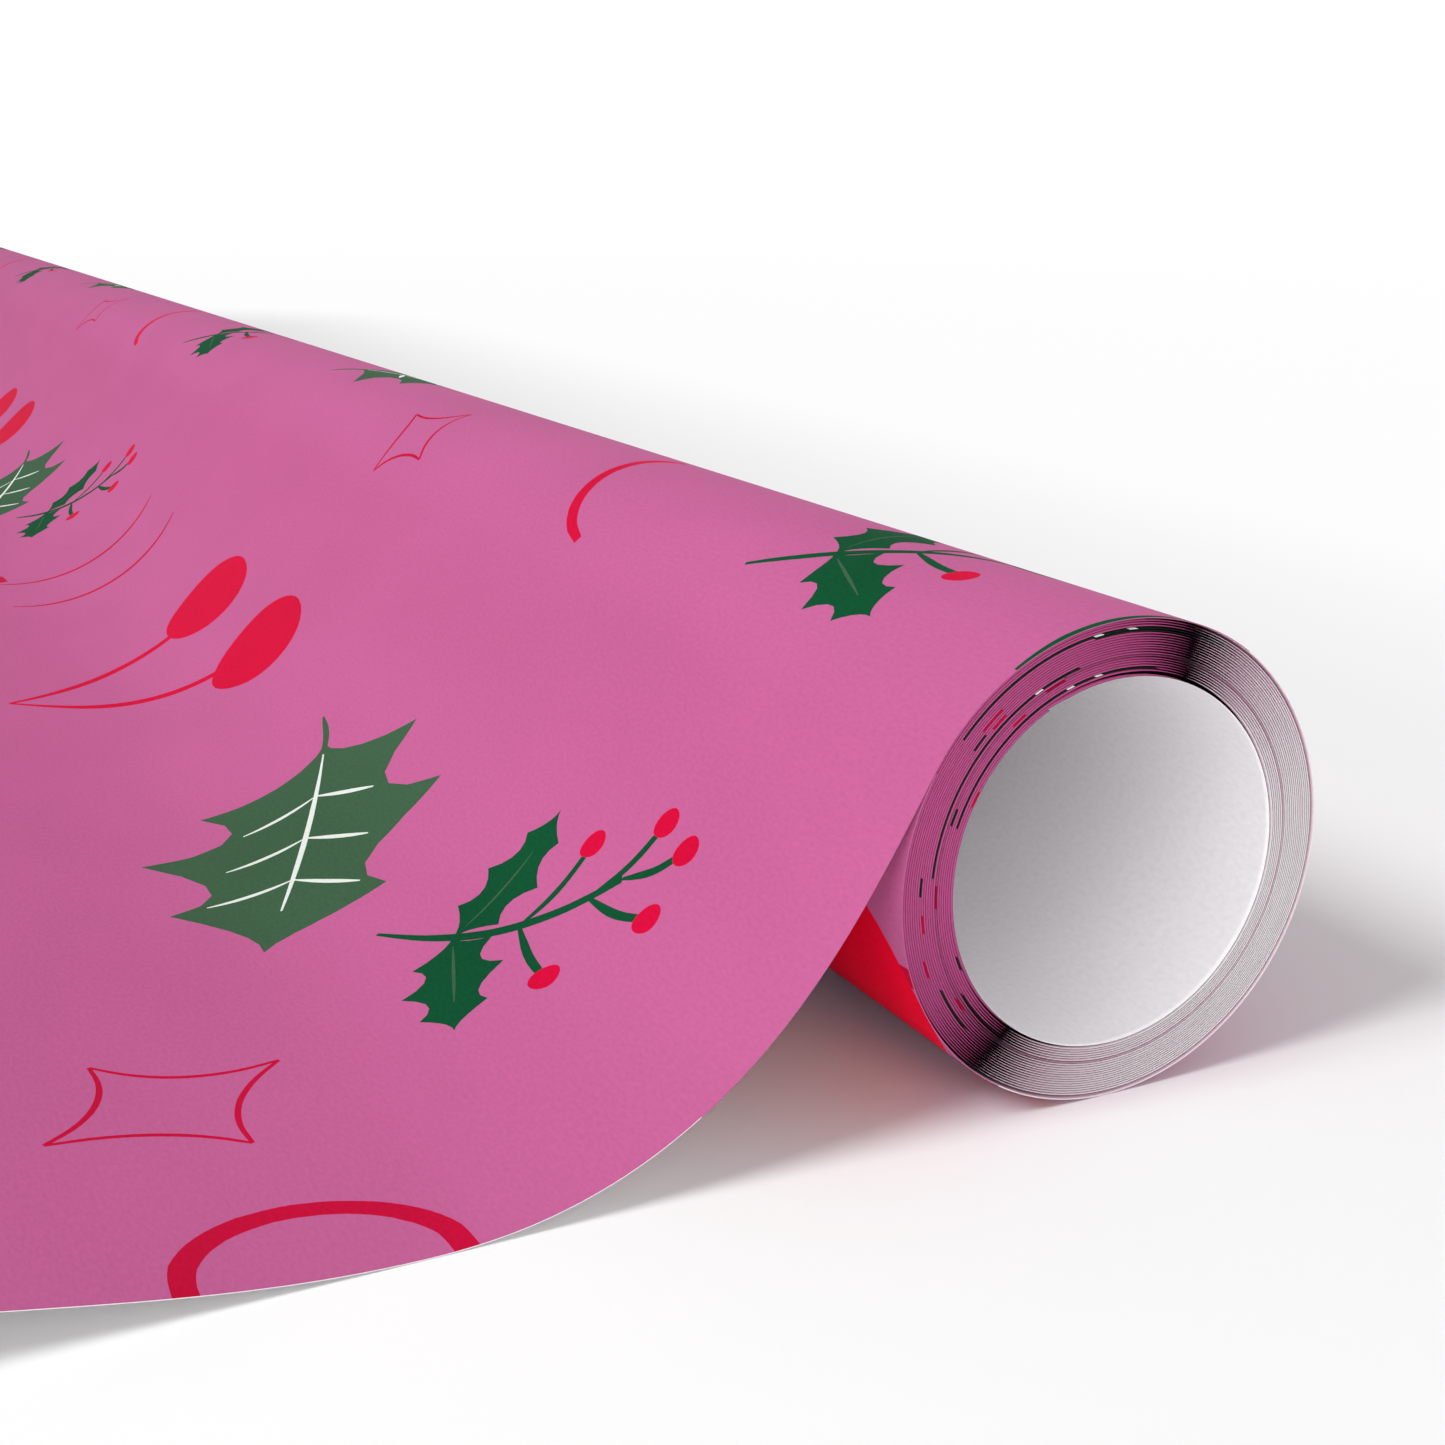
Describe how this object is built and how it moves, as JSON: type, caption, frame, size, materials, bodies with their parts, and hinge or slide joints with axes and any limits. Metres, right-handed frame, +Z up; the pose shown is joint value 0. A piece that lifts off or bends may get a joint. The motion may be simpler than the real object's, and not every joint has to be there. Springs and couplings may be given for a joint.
{
  "type": "wrapping paper roll",
  "caption": "Coreless roll of printed gift wrapping paper lying on a table, with its free end drawn out flat; the coil turns as the sheet feeds.",
  "frame": {"origin": "middle of the roll's axis, at half the web's width", "axes": "+X along the roll towards its open end, the web is drawn off towards -Y, +Z up"},
  "size_m": [0.762, 0.408, 0.0399],
  "materials": {
    "printed_paper": "uncoated matte, printed pink with a holly pattern on one side, white back",
    "wound_paper": "the same web in the coil, seen by its cut edges and its white back"
  },
  "bodies": {
    "standing_web": {"outer_wrap": "printed_paper", "riser_1": "printed_paper", "riser_2": "printed_paper", "arch_1": "printed_paper", "arch_2": "printed_paper", "arch_3": "printed_paper", "arch_4": "printed_paper", "next_length": "printed_paper"},
    "coil": {"turn_02": "wound_paper", "turn_03": "wound_paper", "turn_04": "wound_paper", "turn_05": "wound_paper", "turn_06": "wound_paper", "turn_07": "wound_paper", "turn_08": "wound_paper", "turn_09": "wound_paper", "turn_10": "wound_paper", "turn_11": "wound_paper", "turn_12": "wound_paper", "turn_13": "wound_paper", "turn_14": "wound_paper", "turn_15": "wound_paper"},
    "slipping_turns": {"turn_16": "wound_paper", "turn_17": "wound_paper", "turn_18": "wound_paper", "turn_19": "wound_paper", "turn_20": "wound_paper", "turn_21": "wound_paper", "turn_22": "wound_paper", "turn_23": "wound_paper"},
    "drawn_sheet": {"laid_sheet": "printed_paper"},
    "lifting_edge": {"leading_edge": "printed_paper"}
  },
  "joints": [
    {"name": "coil_turn", "type": "hinge", "parent": "standing_web", "child": "coil", "pos_m": [0, 0, 0], "axis": [1, 0, 0], "range_deg": [0, 454.7]},
    {"name": "sheet_feed", "type": "slide", "parent": "standing_web", "child": "drawn_sheet", "axis": [0, -1, 0], "range_m": [0, 0.15875]},
    {"name": "turns_slip", "type": "slide", "parent": "coil", "child": "slipping_turns", "axis": [1, 0, 0], "range_m": [-0.03, 0.03]},
    {"name": "edge_lift", "type": "hinge", "parent": "drawn_sheet", "child": "lifting_edge", "pos_m": [0, -0.3281, -0.01974], "axis": [-1, 0, 0], "range_deg": [0, 70]}
  ],
  "couplings": [
    {"joint": "sheet_feed", "follows": "coil_turn", "m_per_rad": 0.02}
  ]
}
